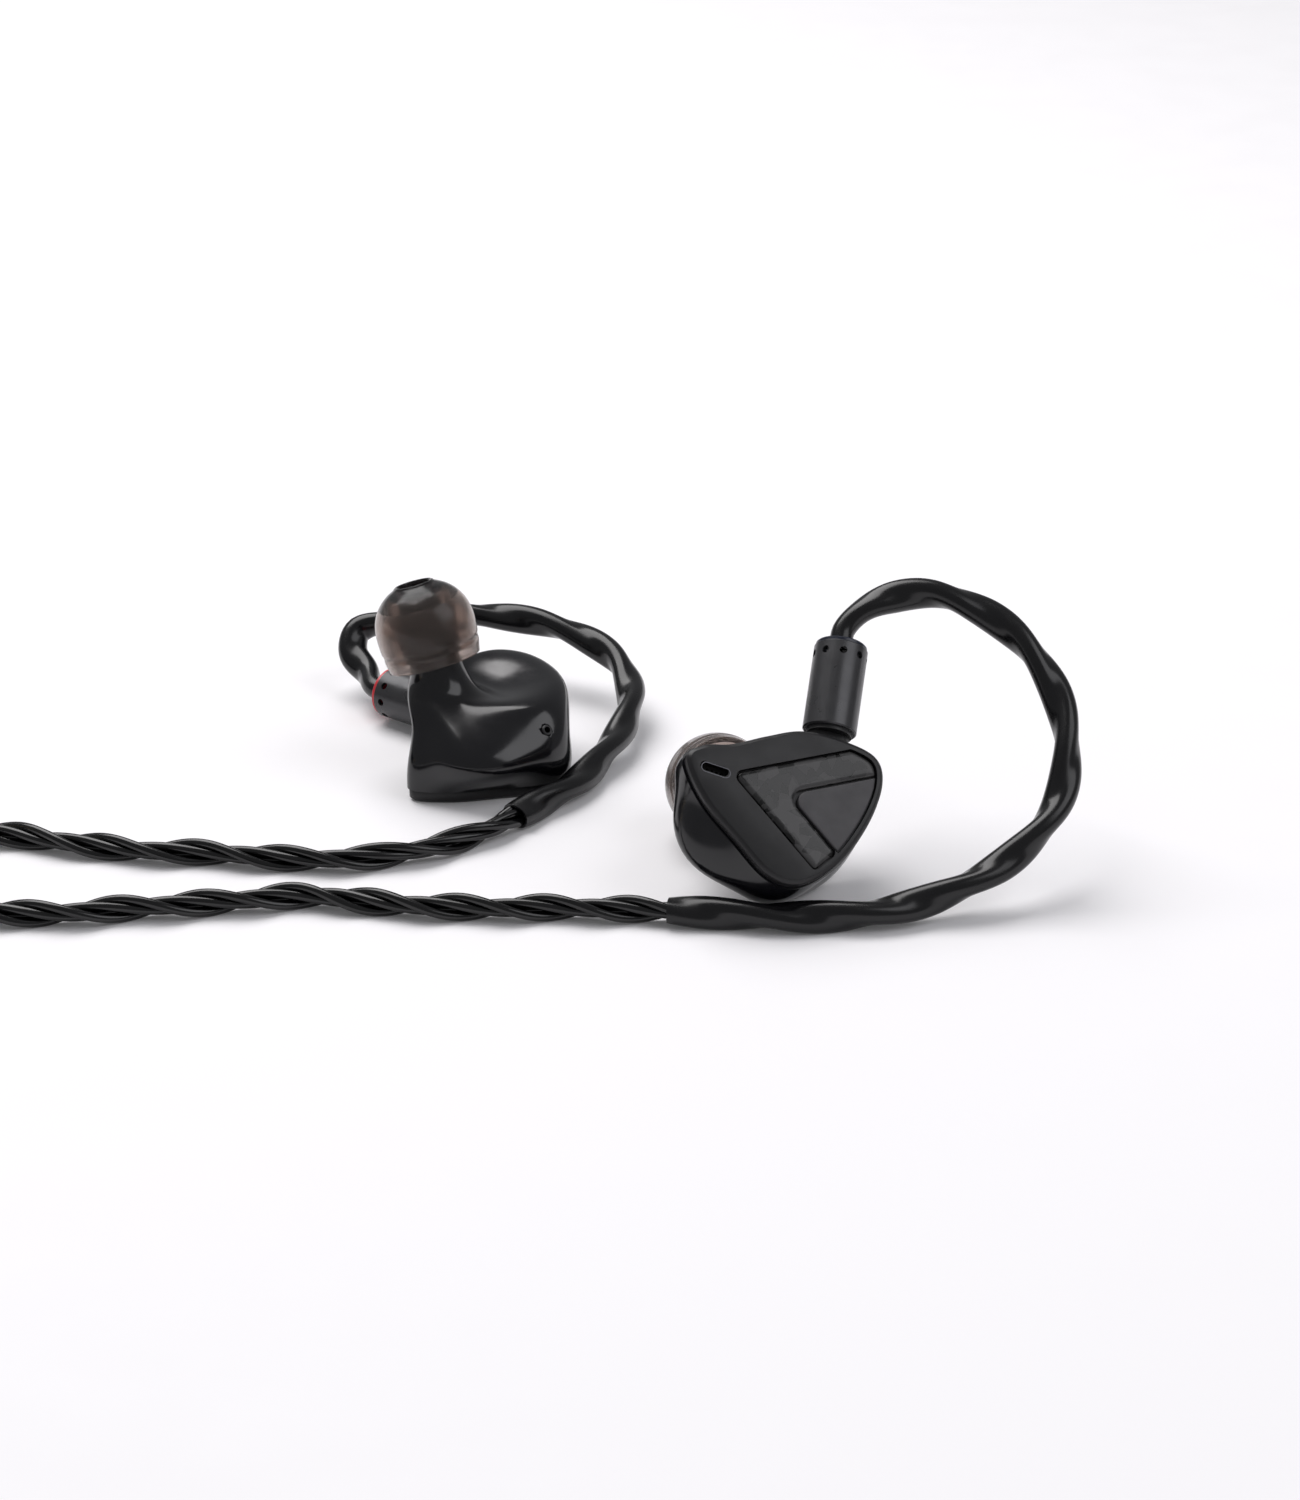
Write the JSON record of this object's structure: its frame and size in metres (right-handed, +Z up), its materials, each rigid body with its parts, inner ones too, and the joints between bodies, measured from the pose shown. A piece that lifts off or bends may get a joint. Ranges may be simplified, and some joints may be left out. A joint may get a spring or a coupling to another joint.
{
  "type": "in ear monitors",
  "caption": "In-ear monitors with over-ear hooks on a detachable twisted cable: moulded shells, silicone tips, pin connectors, chin slider, splitter, coiled lead and headphone plug.",
  "frame": {"origin": "middle of the earpieces' and ear hooks' box, on the table they rest on", "axes": "+Z up, -Y towards the viewer, the cable runs off towards -X"},
  "size_m": [0.2498, 0.0753, 0.0312],
  "materials": {
    "resin_shell": "polished black resin",
    "faceplate": "satin black with a faint grain",
    "forged_carbon": "clear-coated forged carbon flakes, dark grey on black",
    "panel": "matte dark grey",
    "nozzle_metal": "turned, satin",
    "screen_metal": "fine perforated steel",
    "socket_plastic": "black moulded",
    "gold_contacts": "gold plated",
    "circuit_board": "green solder mask",
    "driver_steel": "drawn steel can",
    "driver_magnet": "plated magnet steel",
    "diaphragm_film": "thin film",
    "clear_tube": "clear vinyl tube",
    "silicone": "translucent smoky grey-brown silicone",
    "barrel_metal": "black anodised, fine lathe lines",
    "ring_red": "red channel ring",
    "ring_blue": "blue channel ring",
    "shrink_sleeve": "black heat-shrink, satin gloss",
    "cord_wire": "glossy black insulated wires, twisted",
    "slider_rubber": "soft black",
    "splitter_body": "satin black",
    "tie_strap": "black hook-and-loop strap",
    "plug_body": "black anodised"
  },
  "bodies": {
    "root": {"left_shell": "resin_shell", "left_nozzle": "nozzle_metal", "left_faceplate": "faceplate", "left_inlay": "forged_carbon", "left_panel": "panel", "left_vent_screen": "screen_metal", "left_port_eyelet": "screen_metal", "left_socket": "socket_plastic", "left_socket_contacts": "gold_contacts", "left_circuit_board": "circuit_board", "left_driver_can": "driver_steel", "left_driver_magnet": "driver_magnet", "left_driver_cover": "driver_steel", "left_armatures": "driver_steel", "left_sound_tubes": "clear_tube", "left_nozzle_mesh": "screen_metal", "left_hook_sleeve": "shrink_sleeve", "left_ear_cord": "cord_wire", "right_shell": "resin_shell", "right_nozzle": "nozzle_metal", "right_faceplate": "faceplate", "right_inlay": "forged_carbon", "right_panel": "panel", "right_vent_screen": "screen_metal", "right_port_eyelet": "screen_metal", "right_socket": "socket_plastic", "right_socket_contacts": "gold_contacts", "right_circuit_board": "circuit_board", "right_driver_can": "driver_steel", "right_driver_magnet": "driver_magnet", "right_driver_cover": "driver_steel", "right_armatures": "driver_steel", "right_sound_tubes": "clear_tube", "right_nozzle_mesh": "screen_metal", "right_hook_sleeve": "shrink_sleeve", "right_ear_cord": "cord_wire", "splitter": "splitter_body", "splitter_nut": "nozzle_metal", "main_lead": "cord_wire", "main_coil": "cord_wire", "cable_tie": "tie_strap", "plug_handle": "plug_body", "plug_relief": "slider_rubber", "plug_contacts": "gold_contacts", "plug_rings": "socket_plastic"},
    "left_tip": {"left_ear_tip": "silicone"},
    "left_connector": {"left_barrel": "barrel_metal", "left_connector_insert": "socket_plastic", "left_pins": "gold_contacts", "left_channel_ring": "ring_blue", "left_hook_upper": "shrink_sleeve"},
    "left_cone": {"left_diaphragm": "diaphragm_film"},
    "right_tip": {"right_ear_tip": "silicone"},
    "right_connector": {"right_barrel": "barrel_metal", "right_connector_insert": "socket_plastic", "right_pins": "gold_contacts", "right_channel_ring": "ring_red", "right_hook_upper": "shrink_sleeve"},
    "right_cone": {"right_diaphragm": "diaphragm_film"},
    "slider": {"chin_slider": "slider_rubber"}
  },
  "joints": [
    {"name": "left_tip_slide", "type": "slide", "parent": "root", "child": "left_tip", "axis": [-0.2001, 0.8959, -0.3966], "range_m": [0, 0.009]},
    {"name": "left_connector_slide", "type": "slide", "parent": "root", "child": "left_connector", "axis": [0.1513, 0.7042, 0.6937], "range_m": [0, 0.0055]},
    {"name": "left_diaphragm_travel", "type": "slide", "parent": "root", "child": "left_cone", "axis": [-0.2637, 0.7051, -0.6583], "range_m": [-0.00015, 0.00015]},
    {"name": "right_tip_slide", "type": "slide", "parent": "root", "child": "right_tip", "axis": [-0.2566, 0.2004, 0.9455], "range_m": [0, 0.009]},
    {"name": "right_connector_slide", "type": "slide", "parent": "root", "child": "right_connector", "axis": [-0.788, 0.6157, 0], "range_m": [0, 0.0055]},
    {"name": "right_diaphragm_travel", "type": "slide", "parent": "root", "child": "right_cone", "axis": [0, 0, 1], "range_m": [-0.00015, 0.00015]},
    {"name": "chin_slider_travel", "type": "slide", "parent": "root", "child": "slider", "axis": [1, 0, 0], "range_m": [-0.002, 0.008]}
  ]
}
